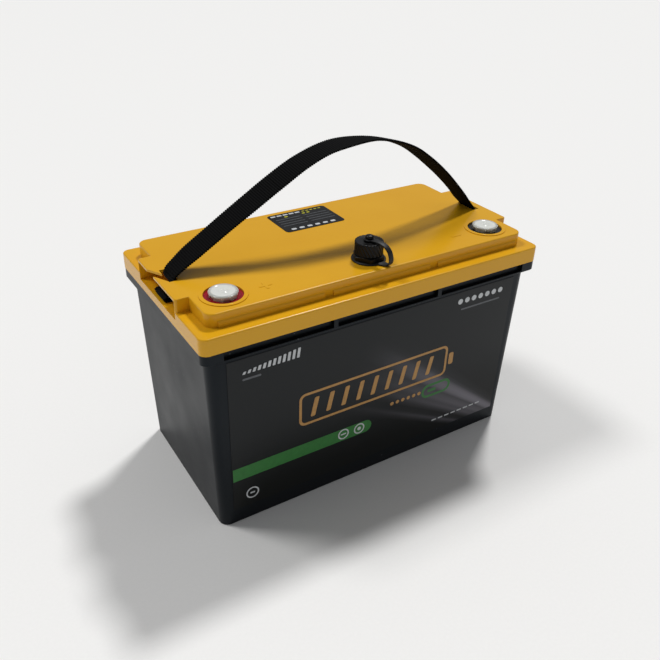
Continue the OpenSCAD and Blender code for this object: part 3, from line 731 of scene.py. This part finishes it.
def webbing_side(i, along):
    """Sideways direction of the webbing at ring i.

    Above the lid it is rolled about its own line: its back edge is higher at the left, and its
    front edge at the right.
    """
    p = line[i]
    rolls = [(-154, 0), (-130, 9), (-60, 14), (-5, 6), (40, -8), (100, -10), (140, -4), (154, 0)]
    roll = 0.0
    for (x0, a0), (x1, a1) in zip(rolls, rolls[1:]):
        if p.z >= 206 and x0 <= p.x < x1:
            t = (p.x - x0) / (x1 - x0)
            roll = math.radians(a0 + (a1 - a0) * t * t * (3 - 2 * t))
    return Matrix.Rotation(roll, 3, along) @ Vector((0, 1, 0))


def weave(i):
    """Outline of the webbing at ring i: eleven ridges, swollen between cross threads, with thin edges."""
    phase = i * step / rib * math.tau
    lift = 0.28 * math.sin(phase)
    half = 10.85 + 0.3 * math.sin(phase)
    top, bottom = [], []
    for k in range(23):
        t = k / 11 - 1
        ridge = 0.1 * math.cos(math.pi * k) if abs(t) < 0.93 else 0.0
        thick = 0.9 + lift * (1 - 0.5 * abs(t) ** 6) + ridge - (0.4 if abs(t) > 0.99 else 0.0)
        top.append((half * t, thick))
        bottom.append((half * t, -thick))
    return top + bottom[::-1]


# The arch, from 60 mm left of the middle to 80 mm right of it, swings as one piece. Each end
# piece, from its slot to the arch, rides on no body and stays as built.
points = swept(line, webbing_side, weave)
around = len(weave(0))
first = next(i for i, p in enumerate(line) if p.x > -60 and p.z > 230)
last = max(i for i, p in enumerate(line) if p.x < 80 and p.z > 230)
for name, start, end, body, node in [("webbing_left", 0, first, None, "strap_end_left"),
                                     ("webbing_middle", first, last, "strap", "carry_strap"),
                                     ("webbing_right", last, len(line) - 1, None, "strap_end_right")]:
    piece = piece_of(name, points[start * around:(end + 1) * around], shell(end - start + 1, around),
                     webbing, body, [node], 70)
    if body is None:
        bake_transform(piece)

# ---- Cell pack ----------------------------------------------------------------------------
# Four prismatic lithium cells in blue film, with insulating sheets between them, clamped by
# glass-epoxy end plates and two steel bands, and bedded in foam.

# Blue PET shrink film: glossy, with small waves where it has shrunk.
dress(moulded("blue_pet_shrink_film", "2458A0", 0.22, 0.12, IOR=1.57), "cell_1", "cell_2", "cell_3", "cell_4")
# Natural polypropylene sheet: off-white and dull.
dress(moulded("natural_polypropylene_sheet", "E4E0D4", 0.5, 0.05),
      "cell_spacer_1", "cell_spacer_2", "cell_spacer_3")
# Glass-epoxy laminate: straw-coloured, with the glass cloth's shade showing.
dress(moulded("glass_epoxy_laminate", "C4B483", 0.35, 0.15), "end_plate_left", "end_plate_right")
# Zinc-plated steel: bright grey with soft blotches.
dress(moulded("zinc_plated_steel", "B4B6B8", 0.33, 0.08, Metallic=1.0),
      "tension_band_lower", "tension_band_upper", "busbar_nuts", "lug_bolts", "bms_screws")
# Closed-cell polyethylene foam: dark grey, quite dull.
dress(moulded("closed_cell_foam", "3A3C40", 0.9, 0.2), "base_pad", "end_foam_left", "end_foam_right")
# Flame-retardant polycarbonate: light grey, satin.
dress(moulded("grey_polycarbonate", "B2B6BA", 0.42, 0.06), "cell_tray")

# ---- Connections --------------------------------------------------------------------------
# Copper links join the cells in series, a copper strip rises to the positive post, and two
# rubber-covered leads carry the negative side through the board.

# Rolled copper: warm and bright, with darker patches where it has begun to tarnish.
dress(moulded("rolled_copper", "C07A4A", 0.3, 0.18, Metallic=1.0),
      "busbar_1", "busbar_2", "busbar_3", "positive_riser")
# Tin-plated copper: pale, a little warmer than the steel.
dress(moulded("tin_plated_copper", "C6C0B6", 0.35, 0.08, Metallic=1.0), "cable_lugs")
# Silicone-rubber cable: black with a soft sheen.
dress(moulded("black_silicone_cable", "161616", 0.5, 0.1),
      "battery_negative_lead", "output_negative_lead", "comm_lead")
# Extruded PVC: red, with a soft gloss.
dress(moulded("red_pvc_wire", "B02A20", 0.4, 0.08), "balance_leads")

# ---- Protection board ---------------------------------------------------------------------
# A green circuit board on four posts above the cells, with rows of black transistors under
# an aluminium plate that spreads their heat.

# Solder mask: deep green and glossy.
dress(moulded("green_solder_mask", "1B6A38", 0.3, 0.12), "bms_board")
# Moulded epoxy: near black and dull.
dress(moulded("black_epoxy_package", "1D1E20", 0.5, 0.1), "bms_mosfets", "temperature_sensor")
# Milled aluminium: pale, with a soft metal sheen.
dress(moulded("milled_aluminium", "C3C6C8", 0.35, 0.06, Metallic=1.0), "bms_heat_spreader")
